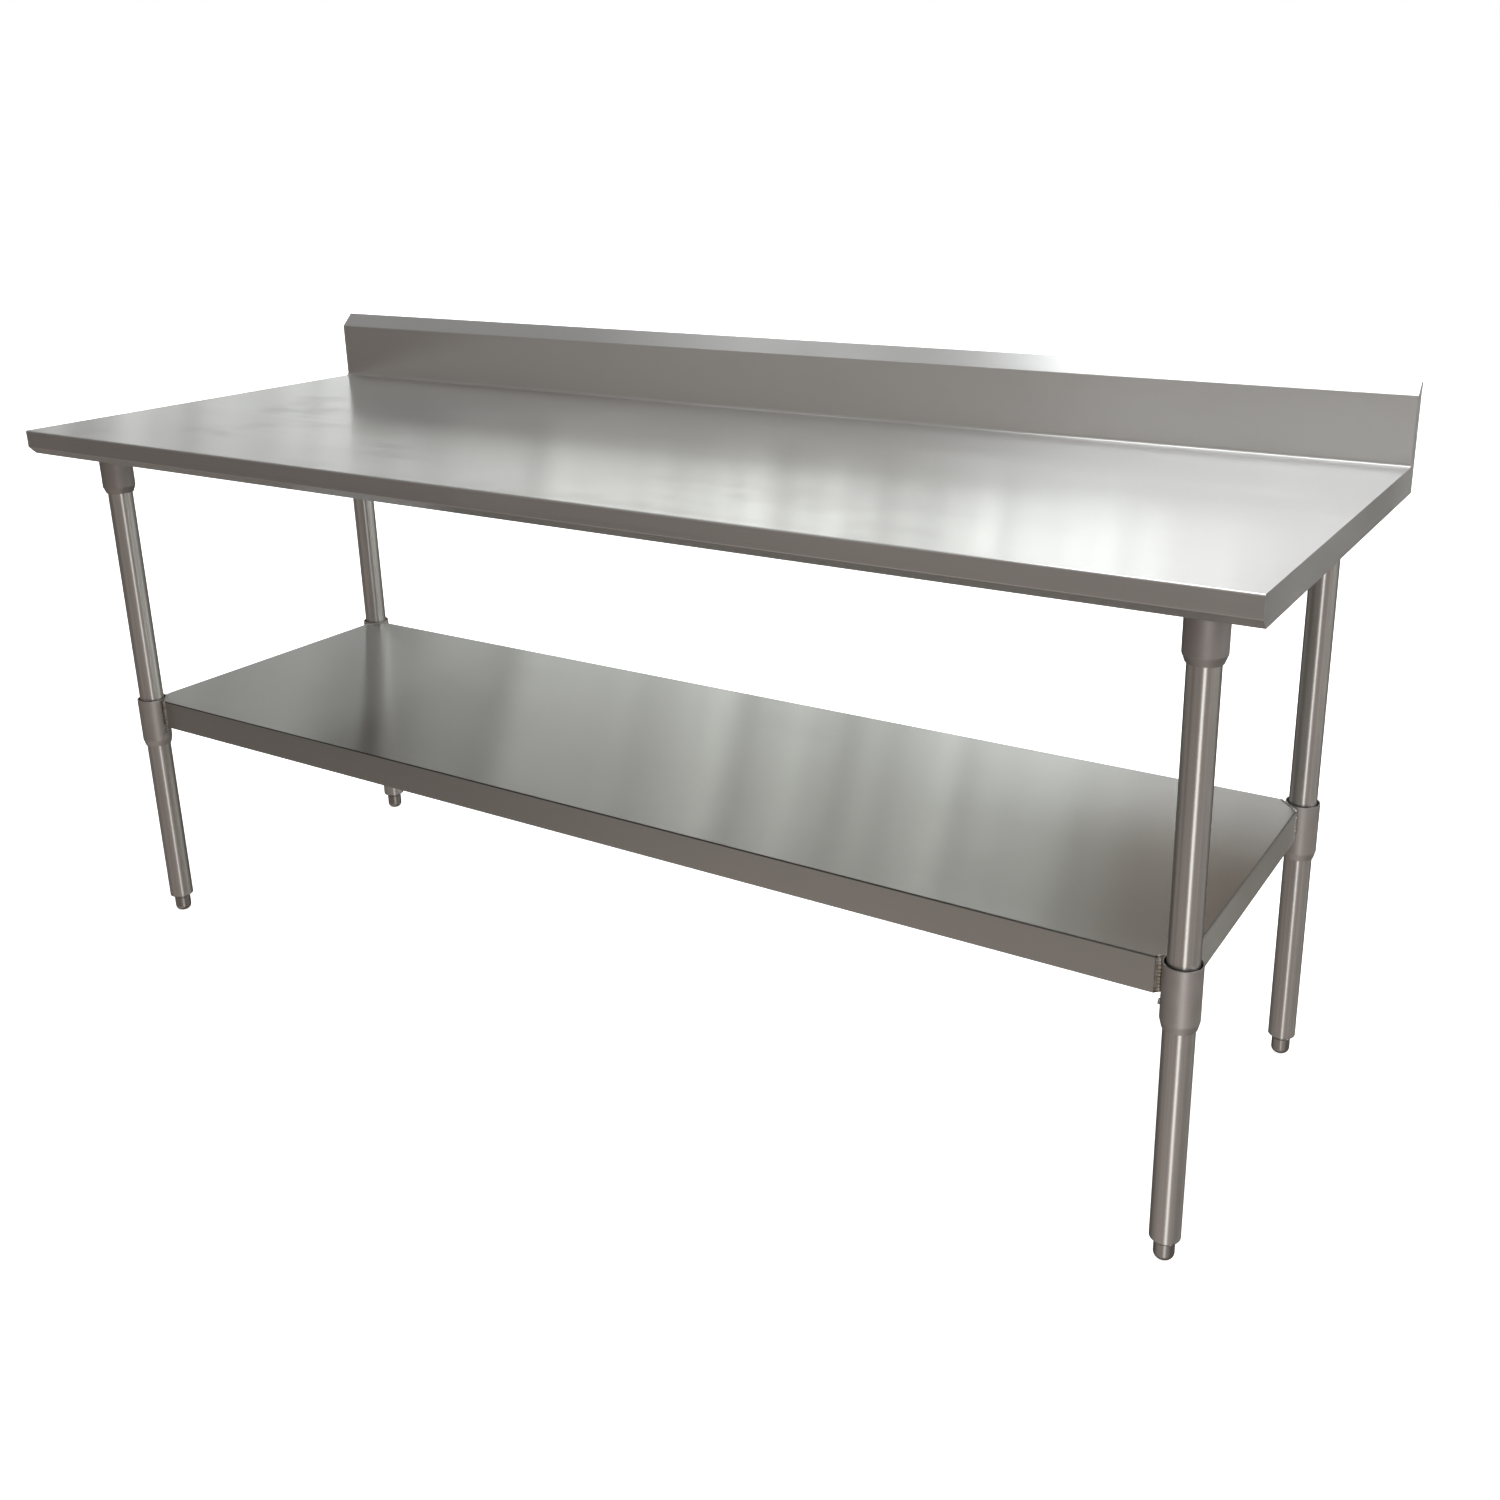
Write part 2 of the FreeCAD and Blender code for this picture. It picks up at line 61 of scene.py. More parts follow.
# Which way the brushing runs, a little off the axes so that no face looks exactly along it.
SHEET_GRAIN = (1.0, 0.002, 0.01)
TUBE_GRAIN = (0.002, 0.003, 1.0)
QUARTER_TURN = 0.25

# Tints that the metal takes on where it is seen at a low angle, and the heat colours beside a weld.
TUBE_EDGE = (0.45, 0.43, 0.42, 1.0)
SATIN_EDGE = (0.4, 0.38, 0.37, 1.0)
STRAW_TINT = (0.47, 0.42, 0.35, 1.0)
BLUE_TINT = (0.27, 0.28, 0.32, 1.0)
WORN_FILM = (0.80, 0.84, 0.86, 1.0)
CLEAN_FILM = (0.90, 0.92, 0.92, 1.0)

# The room's own dim tone, and how finely its walls of light ripple along the table.
ROOM_TONE = (0.058, 0.048, 0.042)
RIPPLES = 70.0

# Where the weld beads sit. The lengths are metres, and the shares are of a bead's own width.
FLANGE_DEPTH = 0.002
SEAM_SINK = 0.0005
SPOT_INSET_SHARE = 1.4
POST_INSET_SHARE = 0.38
POST_FOOT_SHARE = 0.5
POST_HEAD_SHARE = 0.3
RING_OUTSET_SHARE = 0.2
RING_DROP_SHARE = 0.25
RING_STEPS = 48
X_AXIS = Vector((1, 0, 0))
Y_AXIS = Vector((0, 1, 0))


# Node trees ---------------------------------------------------------------------------------------


class Socket:
    """An output socket that takes part in arithmetic: each step adds a Math node."""

    def __init__(self, tree, link):
        self.tree = tree
        self.link = link

    def math(self, operation, *others):
        return self.tree.node("ShaderNodeMath", {"operation": operation}, (self, *others))

    def __add__(self, other):
        return self.math("ADD", other)

    def __sub__(self, other):
        return self.math("SUBTRACT", other)

    def __mul__(self, other):
        return self.math("MULTIPLY", other)

    def __rsub__(self, other):
        return self.tree.node("ShaderNodeMath", {"operation": "SUBTRACT"}, (other, self))

    def __gt__(self, other):
        return self.math("GREATER_THAN", other)

    __radd__ = __add__
    __rmul__ = __mul__

    def size(self):
        return self.math("ABSOLUTE")

    def soft(self, low, high):
        """A smooth step from 0 at low to 1 at high; low may be the larger."""
        settings = {"interpolation_type": "SMOOTHSTEP"}
        return self.tree.node("ShaderNodeMapRange", settings, {0: self, 1: low, 2: high})

    def parts(self):
        """The three components of a vector."""
        split = self.tree.node("ShaderNodeSeparateXYZ", inputs=(self,))
        return [split.output(index) for index in range(3)]

    def output(self, key):
        return Socket(self.tree, self.link.node.outputs[key])


class Tree:
    """A node tree being built."""

    def __init__(self, tree):
        self.tree = tree

    def node(self, kind, settings=None, inputs=(), output=0):
        """Add a node: its settings first, then the values or links of its sockets."""
        made = self.tree.nodes.new(kind)
        for name, setting in (settings or {}).items():
            setattr(made, name, setting)
        pairs = inputs.items() if isinstance(inputs, dict) else enumerate(inputs)
        for key, given in pairs:
            if isinstance(given, Socket):
                self.tree.links.new(given.link, made.inputs[key])
            elif given is not None:
                made.inputs[key].default_value = given
        return Socket(self, made.outputs[output]) if made.outputs else None


class Shader(Tree):
    """A material's or world's tree, with the nodes that its finishes share."""

    def __init__(self, owner):
        owner.use_nodes = True
        super().__init__(owner.node_tree)
        self.tree.nodes.clear()

    def coordinates(self, key="Object"):
        return self.node("ShaderNodeTexCoord", output=key)

    def stretch(self, vector, scale):
        return self.node("ShaderNodeMapping", inputs={"Vector": vector, "Scale": scale})

    def noise(self, vector, scale=1.0, detail=2.0, roughness=0.5):
        inputs = {"Vector": vector, "Scale": scale, "Detail": detail, "Roughness": roughness}
        return self.node("ShaderNodeTexNoise", inputs=inputs)

    def blend(self, factor, first, second):
        """A colour between two colours."""
        inputs = {0: factor, 6: first, 7: second}
        return self.node("ShaderNodeMix", {"data_type": "RGBA"}, inputs, output=2)

    def aim(self, factor, first, second):
        """A vector between two vectors."""
        inputs = {0: factor, 4: first, 5: second}
        return self.node("ShaderNodeMix", {"data_type": "VECTOR"}, inputs, output=1)

    def bump(self, height, strength, distance, normal=None):
        inputs = {"Strength": strength, "Distance": distance, "Height": height, "Normal": normal}
        return self.node("ShaderNodeBump", inputs=inputs)

    def direction(self, vector):
        return self.node("ShaderNodeCombineXYZ", inputs=vector)

    def surface(self, inputs):
        shader = self.node("ShaderNodeBsdfPrincipled", inputs=inputs)
        self.node("ShaderNodeOutputMaterial", inputs={"Surface": shader})

    def layered_surface(self, inputs, first, second, share):
        """Two lobes of one metal: the inputs they share, then what is different in each."""
        lobes = [self.node("ShaderNodeBsdfPrincipled", inputs={**inputs, **own}) for own in (first, second)]
        mixed = self.node("ShaderNodeMixShader", inputs={0: share, 1: lobes[0], 2: lobes[1]})
        self.node("ShaderNodeOutputMaterial", inputs={"Surface": mixed})


def opaque(colour):
    return (*colour, 1.0)


def shade(colour, factor):
    """A colour made lighter or darker, opaque."""
    return opaque(min(1.0, part * factor) for part in colour)


# Settings -----------------------------------------------------------------------------------------


class SteelSettings(PropertyGroup):
    """Colours and brushing of the steel."""

    sheet_colour: FloatVectorProperty(
        name="Sheet colour", description="Brushed sheet of the top and shelf",
        default=(0.72, 0.715, 0.70), subtype="COLOR", min=0, max=1)
    shelf_colour: FloatVectorProperty(
        name="Shelf colour", description="Brushed sheet of the undershelf",
        default=(0.575, 0.58, 0.555), subtype="COLOR", min=0, max=1)
    tube_colour: FloatVectorProperty(
        name="Tube colour", description="Polished tube of the legs",
        default=(0.66, 0.645, 0.62), subtype="COLOR", min=0, max=1)
    # Painted shade: the top sockets get a darker colour than the collars' satin steel, standing in for the
    # shade under the deck.
    shaded_top_socket_colour: FloatVectorProperty(
        name="Top socket colour", description="Dull sockets under the deck",
        default=(0.46, 0.435, 0.42), subtype="COLOR", min=0, max=1)
    socket_colour: FloatVectorProperty(
        name="Collar colour", description="Satin collars of the shelf",
        default=(0.58, 0.56, 0.54), subtype="COLOR", min=0, max=1)
    foot_colour: FloatVectorProperty(
        name="Foot colour", description="Turned bullet feet and their plugs",
        default=(0.44, 0.43, 0.41), subtype="COLOR", min=0, max=1)
    channel_colour: FloatVectorProperty(
        name="Channel colour", description="Galvanised hat channels",
        default=(0.52, 0.53, 0.54), subtype="COLOR", min=0, max=1)
    zinc_colour: FloatVectorProperty(
        name="Fastener colour", description="Zinc-plated studs, nuts and screws",
        default=(0.55, 0.55, 0.56), subtype="COLOR", min=0, max=1)
    sheet_roughness: FloatProperty(
        name="Sheet roughness", description="Roughness of the brushed sheet",
        default=0.29, min=0, max=1, subtype="FACTOR")
    sheet_brushing: FloatProperty(
        name="Sheet brushing", description="How much the grain stretches reflections across itself",
        default=1.0, min=0, max=1, subtype="FACTOR")


class WeldSettings(PropertyGroup):
    """Sizes of the weld beads."""

    bead_width: FloatProperty(
        name="Bead width", description="Width of a fillet weld", default=0.0042, unit="LENGTH")
    post_width: FloatProperty(
        name="Corner bead width", description="Width of the lumpy bead that fills a shelf corner",
        default=0.0115, unit="LENGTH")
    ripple_pitch: FloatProperty(
        name="Ripple pitch", description="Distance between ripples, as a share of the bead's width",
        default=0.42, subtype="FACTOR")
    spot_width: FloatProperty(
        name="Spot width", description="Diameter of a spot weld", default=0.007, unit="LENGTH")
    spot_pitch: FloatProperty(
        name="Spot pitch", description="Distance between spot welds", default=0.075, unit="LENGTH")
    seed: IntProperty(name="Seed", description="Seed of the ripples' unevenness", default=7)


class ThreadSettings(PropertyGroup):
    """Thread of the screw feet."""

    pitch: FloatProperty(
        name="Pitch", description="Distance from one turn to the next", default=0.00195, unit="LENGTH")
    depth: FloatProperty(
        name="Depth", description="Height of the thread above its core", default=0.0009, unit="LENGTH")


class StudioSettings(PropertyGroup):
    """Camera, floor and light."""

    camera_place: FloatVectorProperty(
        name="Camera place", description="Where the camera stands",
        default=(1.471226, -1.956737, 1.396669), subtype="TRANSLATION")
    camera_yaw: FloatProperty(
        name="Camera yaw", description="Turn to the left", default=0.554, subtype="ANGLE")
    camera_pitch: FloatProperty(
        name="Camera pitch", description="Tilt down", default=0.317, subtype="ANGLE")
    camera_roll: FloatProperty(
        name="Camera roll", description="Lean", default=-0.016, subtype="ANGLE")
    lens: FloatProperty(
        name="Lens", description="Focal length in millimetres on a 36 mm sensor",
        default=37.35, unit="CAMERA")
    shift: FloatVectorProperty(
        name="Lens shift", description="Shift of the frame across and up",
        default=(-0.0333, -0.0667), size=2)
    floor_colour: FloatVectorProperty(
        name="Floor colour", description="Pale floor", default=(0.86, 0.86, 0.86), subtype="COLOR")
    floor_reach: FloatProperty(
        name="Floor reach", description="Half the floor's side", default=30.0, unit="LENGTH")
    key_power: FloatProperty(
        name="Key power", description="Light of the softbox overhead", default=60.0, unit="POWER")
    strip_power: FloatProperty(
        name="Strip power", description="Light of the tall strip beside the camera", default=7.0,
        unit="POWER")


# Finishes -----------------------------------------------------------------------------------------


def new_material(name):
    material = bpy.data.materials.new(name)
    return material, Shader(material)


def grain_vector(shader, along, across):
    """Object coordinates squeezed across the brushing, which runs along X, or up the faces that look along
    X."""
    place = shader.coordinates()
    facing_x = shader.coordinates("Normal").parts()[0].size() > 0.7
    level = shader.stretch(place, (along, across, across))
    upright = shader.stretch(place, (across, across, along))
    return shader.aim(facing_x, level, upright)


def sheet_steel(name, steel, base, bend_shade_share=0.0):
    """Number 4 brushed sheet: fine grain, broader brush bands, slow waves in the metal and hand smears. Its
    reflections are a sharp lobe over a wide one, and a painted shade darkens the outside of its bends."""
    material, shader = new_material(name)
    place = shader.coordinates()
    fine = shader.noise(grain_vector(shader, along=3.0, across=1500.0), detail=3.0, roughness=0.65)
    bands = shader.noise(grain_vector(shader, along=0.8, across=90.0), detail=3.0, roughness=0.6)
    drift = shader.noise(place, scale=1.7, detail=2.0)
    smears = shader.noise(shader.stretch(place, (5.0, 9.0, 9.0)), detail=4.0, roughness=0.6).soft(0.5, 0.72)
    waves = shader.noise(shader.stretch(place, (1.1, 2.6, 2.6)), detail=1.0)
    tone = bands * 0.3 + drift * 0.4 + fine * 0.3
    brushed = shader.blend(tone, shade(base, 0.94), shade(base, 1.05))
    tilt = shader.coordinates("Normal").parts()[2].size()
    # Painted shade: on the bend radii, where the face is neither level nor upright, the colour is darkened
    # towards a tenth of the base, by the share given.
    painted_bend_shade = tilt.soft(0.985, 0.93) * tilt.soft(0.03, 0.15) * bend_shade_share
    colour = shader.blend(painted_bend_shade, brushed, shade(base, 0.1))
    uneven = (fine - 0.5) * 0.08 + (bands - 0.5) * 0.05 + smears * 0.03
    wavy = shader.bump(waves, strength=1.0, distance=0.0015)
    grain = shader.bump(fine, strength=0.5, distance=0.00004, normal=wavy)
    shared = {
        "Base Color": colour,
        "Metallic": 1.0,
        "Anisotropic": steel.sheet_brushing,
        "Anisotropic Rotation": QUARTER_TURN,
        "Tangent": shader.direction(SHEET_GRAIN),
        "Normal": grain,
    }
    sharp, wide = ({"Roughness": uneven + steel.sheet_roughness * part} for part in (0.55, 1.2))
    shader.layered_surface(shared, sharp, wide, share=0.5)
    return material


def tube_steel(steel):
    """Tube polished round and round: faint rings, a few long draw marks and dull patches."""
    material, shader = new_material("polished_tube")
    place = shader.coordinates()
    rings = shader.noise(shader.stretch(place, (30.0, 30.0, 1500.0)), detail=2.0)
    draws = shader.noise(shader.stretch(place, (380.0, 380.0, 1.1)), detail=2.0)
    patches = shader.noise(shader.stretch(place, (12.0, 12.0, 4.0)), detail=3.0)
    tone = rings * 0.2 + draws * 0.55 + patches * 0.25
    colour = shader.blend(tone, shade(steel.tube_colour, 0.68), shade(steel.tube_colour, 1.24))
    roughness = (rings - 0.5) * 0.04 + (patches - 0.5) * 0.06 + 0.33
    normal = shader.bump(rings * 0.5 + draws * 0.5, strength=0.35, distance=0.00002)
    shader.surface({
        "Base Color": colour,
        "Metallic": 1.0,
        "Specular Tint": TUBE_EDGE,
        "Roughness": roughness,
        "Anisotropic": 0.75,
        "Tangent": shader.direction(TUBE_GRAIN),
        "Normal": normal,
    })
    return material


def satin_steel(name, colour, roughness, grain=900.0):
    """Machined or swaged steel: fine pitting, turning marks and soft stains."""
    material, shader = new_material(name)
    place = shader.coordinates()
    pitting = shader.noise(place, scale=grain, detail=3.0, roughness=0.7)
    turning = shader.noise(shader.stretch(place, (60.0, 60.0, 1100.0)), detail=2.0)
    stains = shader.noise(place, scale=38.0, detail=3.0)
    tone = pitting * 0.3 + turning * 0.3 + stains * 0.4
    tinted = shader.blend(tone, shade(colour, 0.82), shade(colour, 1.12))
    rough = (pitting - 0.5) * 0.12 + (stains - 0.5) * 0.16 + roughness
    shader.surface({
        "Base Color": tinted,
        "Metallic": 1.0,
        "Specular Tint": SATIN_EDGE,
        "Roughness": rough,
        "Normal": shader.bump(pitting * 0.4 + turning * 0.6, strength=0.3, distance=0.0002),
    })
    return material


def galvanised_steel(steel):
    """Zinc-coated channel with its spangle."""
    material, shader = new_material("galvanised_channel")
    place = shader.coordinates()
    inputs = {"Vector": place, "Scale": 110.0}
    spangle = shader.node("ShaderNodeTexVoronoi", inputs=inputs, output="Color").parts()[0]
    dust = shader.noise(place, scale=20.0, detail=4.0)
    tone = spangle * 0.55 + dust * 0.45
    shader.surface({
        "Base Color": shader.blend(
            tone, shade(steel.channel_colour, 0.72), shade(steel.channel_colour, 1.16)),
        "Metallic": 1.0,
        "Roughness": spangle * 0.16 + dust * 0.14 + 0.34,
        "Normal": shader.bump(dust, strength=0.25, distance=0.0004),
    })
    return material


def weld_steel(steel):
    """Weld bead: gritty steel with straw and blue heat tints."""
    material, shader = new_material("weld_bead")
    place = shader.coordinates()
    heat = shader.noise(place, scale=90.0, detail=3.0)
    grit = shader.noise(place, scale=1600.0, detail=2.0)
    straw = shader.blend(heat.soft(0.42, 0.62), shade(steel.socket_colour, 0.95), STRAW_TINT)
    tinted = shader.blend(heat.soft(0.62, 0.8), straw, BLUE_TINT)
    shader.surface({
        "Base Color": tinted,
        "Metallic": 1.0,
        "Roughness": grit * 0.15 + 0.3,
        "Normal": shader.bump(grit, strength=0.2, distance=0.0002),
    })
    return material


def label_film():
    """Blank pale film with a soft sheen and a slightly worn face."""
    material, shader = new_material("label_film")
    place = shader.coordinates()
    wear = shader.noise(place, scale=160.0, detail=4.0)
    fibre = shader.noise(shader.stretch(place, (300.0, 2200.0, 2200.0)), detail=2.0)
    shader.surface({
        "Base Color": shader.blend(wear, WORN_FILM, CLEAN_FILM),
        "Roughness": wear * 0.2 + 0.4,
        "Normal": shader.bump(fibre, strength=0.15, distance=0.0001),
    })
    return material


def finish_node(name, material):
    """Give a CAD node its material."""
    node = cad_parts[name]
    node.data.materials.clear()
    node.data.materials.append(material)


# Geometry Nodes -----------------------------------------------------------------------------------


class GeometryTree(Tree):
    """A Geometry Nodes tree with named inputs."""

    def __init__(self, name):
        super().__init__(bpy.data.node_groups.new(name, "GeometryNodeTree"))
        self.tree.interface.new_socket("Geometry", in_out="INPUT", socket_type="NodeSocketGeometry")
        self.tree.interface.new_socket("Geometry", in_out="OUTPUT", socket_type="NodeSocketGeometry")
        self.entry = self.tree.nodes.new("NodeGroupInput")

    def ask(self, name, kind):
        """A named input of the tree."""
        socket = self.tree.interface.new_socket(name, in_out="INPUT", socket_type=kind)
        return Socket(self, next(out for out in self.entry.outputs if out.identifier == socket.identifier))

    def geometry(self):
        return Socket(self, self.entry.outputs["Geometry"])

    def close(self, geometry, material):
        """End the tree in real, smooth geometry with its material."""
        real = self.node("GeometryNodeRealizeInstances", inputs=(geometry,))
        smooth = self.node("GeometryNodeSetShadeSmooth", inputs=(real,))
        coated = self.node("GeometryNodeSetMaterial", inputs={"Geometry": smooth, "Material": material})
        self.node("NodeGroupOutput", inputs=(coated,))
        return self.tree


def bead_tree(name, kind, facets, least, most, turned):
    """Flattened balls, uneven in size, evenly spaced along every edge of the input. Turned ones lie across
    the edge, and the others lie flat."""
    tree = GeometryTree(name)
    width = tree.ask(f"{kind} width", "NodeSocketFloat")
    pitch = tree.ask(f"{kind} pitch", "NodeSocketFloat")
    seed = tree.ask("Seed", "NodeSocketInt")
    material = tree.ask("Material", "NodeSocketMaterial")
    path = tree.node("GeometryNodeMeshToCurve", inputs=(tree.geometry(),))
    steps = tree.node("GeometryNodeResampleCurve", {"mode": "LENGTH"}, {"Curve": path, "Length": pitch})
    segments, rings = facets
    ball = tree.node("GeometryNodeMeshUVSphere", inputs={
        "Segments": segments, "Rings": rings, "Radius": width * 0.5})
    uneven = tree.node("FunctionNodeRandomValue", {"data_type": "FLOAT_VECTOR"},
                       {0: least, 1: most, "Seed": seed})
    turn = None
    if turned:
        tangent = tree.node("GeometryNodeInputTangent")
        turn = tree.node("FunctionNodeAlignRotationToVector", {"axis": "Z"}, {"Vector": tangent})
    balls = tree.node("GeometryNodeInstanceOnPoints", inputs={
        "Points": steps, "Instance": ball, "Rotation": turn, "Scale": uneven})
    return tree.close(balls, material)


def thread_tree():
    """A threaded rod that stands on the Place: a core with a helical ridge round it."""
    tree = GeometryTree("threaded_rod")
    place = tree.ask("Place", "NodeSocketVector")
    radius = tree.ask("Radius", "NodeSocketFloat")
    height = tree.ask("Height", "NodeSocketFloat")
    pitch = tree.ask("Pitch", "NodeSocketFloat")
    depth = tree.ask("Depth", "NodeSocketFloat")
    material = tree.ask("Material", "NodeSocketMaterial")
    root = radius - depth
    core = tree.node("GeometryNodeMeshCylinder", inputs={
        "Vertices": 32, "Side Segments": 1, "Radius": root, "Depth": height})
    run = height - pitch
    helix = tree.node("GeometryNodeCurveSpiral", inputs={
        "Resolution": 32, "Rotations": run.math("DIVIDE", pitch), "Start Radius": root,
        "End Radius": root, "Height": run})
    ridge = tree.node("GeometryNodeCurvePrimitiveCircle", inputs={"Resolution": 4, "Radius": depth})
    thread = tree.node("GeometryNodeCurveToMesh", inputs={
        "Curve": helix, "Profile Curve": ridge, "Fill Caps": True})
    up = tree.node("ShaderNodeCombineXYZ", inputs={"Z": (height - run) * 0.5})
    lifted = tree.node("GeometryNodeTransform", inputs={"Geometry": thread, "Translation": up})
    half = tree.node("ShaderNodeCombineXYZ", inputs={"Z": height * 0.5})
    raised = tree.node("GeometryNodeTransform", inputs={"Geometry": core, "Translation": half})
    both = tree.node("GeometryNodeJoinGeometry")
    for part in (lifted, raised):
        tree.tree.links.new(part.link, both.link.node.inputs[0])
    standing = tree.node("GeometryNodeTransform", inputs={"Geometry": both, "Translation": place})
    return tree.close(standing, material)


def path_object(name, runs):
    """An object of bare edges, one chain for each run of points."""
    points, edges = [], []
    for run in runs:
        edges += [(len(points) + step, len(points) + step + 1) for step in range(len(run) - 1)]
        points += run
    mesh = bpy.data.meshes.new(name)
    mesh.from_pydata(points, edges, [])
    piece = bpy.data.objects.new(name, mesh)
    bpy.context.scene.collection.objects.link(piece)
    return piece


def grow(piece, tree, settings):
    """Run a Geometry Nodes tree on a piece and keep the result as its plain mesh."""
    modifier = piece.modifiers.new(tree.name, "NODES")
    modifier.node_group = tree
    sockets = {item.name: item.identifier for item in tree.interface.items_tree if item.in_out == "INPUT"}
    for name, given in settings.items():
        modifier[sockets[name]] = given
    evaluated = piece.evaluated_get(bpy.context.evaluated_depsgraph_get())
    mesh = bpy.data.meshes.new_from_object(evaluated)
    piece.modifiers.clear()
    if not mesh.polygons:
        raise RuntimeError(f"{piece.name} came out empty")
    mesh.name = piece.name
    piece.data = mesh
    return piece


def centre_of(node):
    low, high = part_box(node)
    return (low + high) / 2


def radius_of(node):
    """Radius of a round node that stands upright."""
    low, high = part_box(node)
    return (high.x - low.x) / 2


def inward(corner):
    """Unit vector from a leg towards the middle of the shelf."""
    end, side = corner.split("_")
    return Vector((1 if side == "left" else -1, 1 if end == "front" else -1, 0)).normalized()


# Operators ----------------------------------------------------------------------------------------


class WORKTABLE_OT_sheet(Operator):
    """Give the top, its end caps and the shelf their brushed finish"""

    bl_idname = "worktable.sheet"
    bl_label = "Brushed Sheet"

    def execute(self, context):
        steel = context.scene.table_steel
        material = sheet_steel("brushed_top", steel, steel.sheet_colour)
        for name in ("work_top", "riser_end_cap_left", "riser_end_cap_right"):
            finish_node(name, material)
        finish_node("under_shelf", sheet_steel("brushed_shelf", steel, steel.shelf_colour, 0.8))
        return {"FINISHED"}


class WORKTABLE_OT_legs(Operator):
    """Give the four tube legs their polish"""

    bl_idname = "worktable.legs"
    bl_label = "Legs"

    def execute(self, context):
        material = tube_steel(context.scene.table_steel)
        for corner in CORNERS:
            finish_node(f"leg_{corner}", material)
        return {"FINISHED"}


class WORKTABLE_OT_sockets(Operator):
    """Give the top sockets a rougher finish whose colour is darkened with painted shade from the deck, and
    the shelf's collars their satin one
    """

    bl_idname = "worktable.sockets"
    bl_label = "Sockets and Collars"

    def execute(self, context):
        steel = context.scene.table_steel
        # Painted shade: the top sockets' darker colour stands in for the shade under the deck; their higher
        # roughness is their own.
        dull_and_shaded = satin_steel("dull_shaded_socket", steel.shaded_top_socket_colour, 0.58)
        satin = satin_steel("satin_collar", steel.socket_colour, 0.5)
        for corner in CORNERS:
            finish_node(f"top_socket_{corner}", dull_and_shaded)
            finish_node(f"shelf_socket_{corner}", satin)
        return {"FINISHED"}


class WORKTABLE_OT_feet(Operator):
    """Finish the plugs and bullet feet, and cut the thread of each stem"""

    bl_idname = "worktable.feet"
    bl_label = "Feet"

    def execute(self, context):
        thread = context.scene.table_thread
        steel = context.scene.table_steel
        turned = satin_steel("turned_foot", steel.foot_colour, 0.3, grain=700.0)
        zinc = satin_steel("zinc_thread", steel.zinc_colour, 0.35, grain=1200.0)
        tree = thread_tree()
        for corner in CORNERS:
            finish_node(f"foot_insert_{corner}", turned)
            finish_node(f"foot_{corner}", turned)
            stem = f"foot_stem_{corner}"
            low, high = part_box(stem)
            piece = grow(path_object(f"foot_thread_{corner}", [[low, high]]), tree, {
                "Place": (*centre_of(stem).xy, low.z),
                "Radius": radius_of(stem),
                "Height": high.z - low.z,
                "Pitch": thread.pitch,
                "Depth": thread.depth,
                "Material": zinc,
            })
            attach(piece, f"screw_foot_{corner}")
            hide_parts(stem)
        return {"FINISHED"}


class WORKTABLE_OT_channels(Operator):
    """Finish the hat channels and add the spot welds that hold the shelf's channel"""

    bl_idname = "worktable.channels"
    bl_label = "Channels"

    def execute(self, context):
        weld = context.scene.table_weld
        zinc = galvanised_steel(context.scene.table_steel)
        for name in ("centre_channel", "cross_channel_left", "cross_channel_right", "shelf_channel"):
            finish_node(name, zinc)
        low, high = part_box("shelf_channel")
        inset = weld.spot_width * SPOT_INSET_SHARE
        start, end = low.x + weld.spot_pitch / 2, high.x - weld.spot_pitch / 2
        level = high.z - FLANGE_DEPTH
        runs = [[(start, y, level), (end, y, level)] for y in (low.y + inset, high.y - inset)]
        tree = bead_tree("spot_welds", "Spot", (12, 8), (0.9, 0.9, 0.09), (1.1, 1.1, 0.13), turned=False)
        piece = grow(path_object("shelf_spot_welds", runs), tree, {
            "Spot width": weld.spot_width,
            "Spot pitch": weld.spot_pitch,
            "Seed": weld.seed,
            "Material": weld_steel(context.scene.table_steel),
        })
        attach(piece, "shelf")
        return {"FINISHED"}


class WORKTABLE_OT_fasteners(Operator):
    """Finish the studs, nuts and set screws"""

    bl_idname = "worktable.fasteners"
    bl_label = "Fasteners"

    def execute(self, context):
        plated = satin_steel("zinc_fastener", context.scene.table_steel.zinc_colour, 0.32, grain=1500.0)
        for name in ("channel_studs", "channel_nuts", "top_set_screws", "shelf_set_screws"):
            finish_node(name, plated)
        return {"FINISHED"}


def weld_run(name, runs, weld, width, seed, steel):
    """A weld bead along each run of points."""
    tree = bead_tree("weld_beads", "Ripple", (8, 6), (0.8, 0.8, 0.55), (1.1, 1.1, 0.8), turned=True)
    return grow(path_object(name, runs), tree, {
        "Ripple width": width,
        "Ripple pitch": width * weld.ripple_pitch,
        "Seed": seed,
        "Material": weld_steel(steel),
    })


